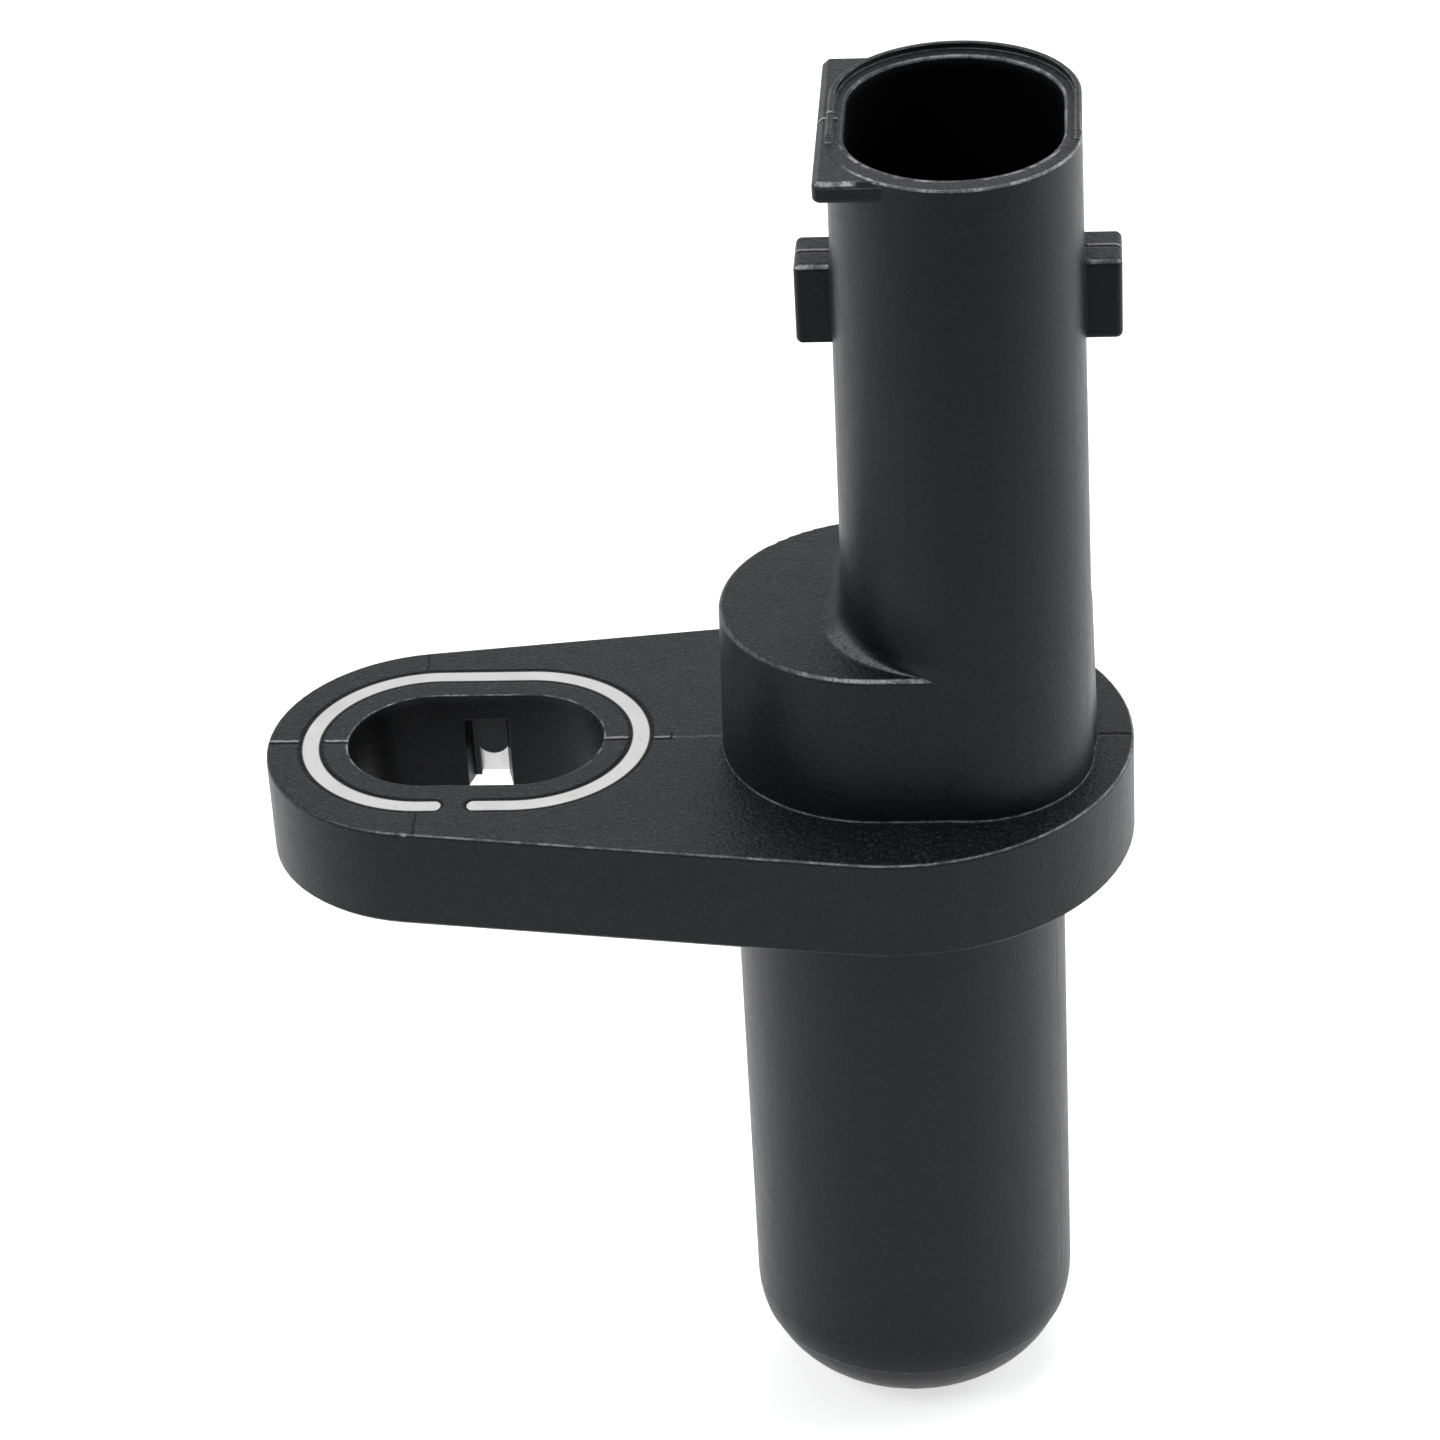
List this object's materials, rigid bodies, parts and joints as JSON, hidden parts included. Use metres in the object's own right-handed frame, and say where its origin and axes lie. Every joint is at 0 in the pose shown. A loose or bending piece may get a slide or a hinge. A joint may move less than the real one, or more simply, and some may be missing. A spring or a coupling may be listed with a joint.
{
  "type": "crankshaft position sensor",
  "caption": "Crankshaft position sensor: round probe, slotted fixing flange with steel sleeve, and upright oval connector shroud with latch lugs.",
  "frame": {"origin": "centre of the round shank where it meets the underside of the flange", "axes": "+Z along the shank towards the connector mouth, -X towards the fixing slot, Y across the flange, with the connector shifted towards +X"},
  "size_m": [0.0472, 0.0258, 0.0781],
  "materials": {
    "housing_plastic": "glass-filled nylon, fine grain, black",
    "carrier_plastic": "moulded thermoset, dark brown",
    "sleeve_steel": "zinc-plated, satin",
    "chip_epoxy": "moulded epoxy",
    "pole_iron": "plain iron disc",
    "magnet_alloy": "sintered, ground",
    "terminal_metal": "tin-plated",
    "lead_metal": "tin-plated",
    "capacitor_ceramic": "matt ceramic"
  },
  "bodies": {
    "root": {"housing": "housing_plastic", "chip_carrier": "carrier_plastic", "bolt_sleeve": "sleeve_steel", "hall_chip": "chip_epoxy", "pole_disc": "pole_iron", "bias_magnet": "magnet_alloy", "terminal_supply": "terminal_metal", "terminal_ground": "terminal_metal", "terminal_signal": "terminal_metal", "chip_lead_supply": "lead_metal", "chip_lead_ground": "lead_metal", "chip_lead_signal": "lead_metal", "supply_capacitor": "capacitor_ceramic", "signal_capacitor": "capacitor_ceramic"}
  },
  "joints": []
}
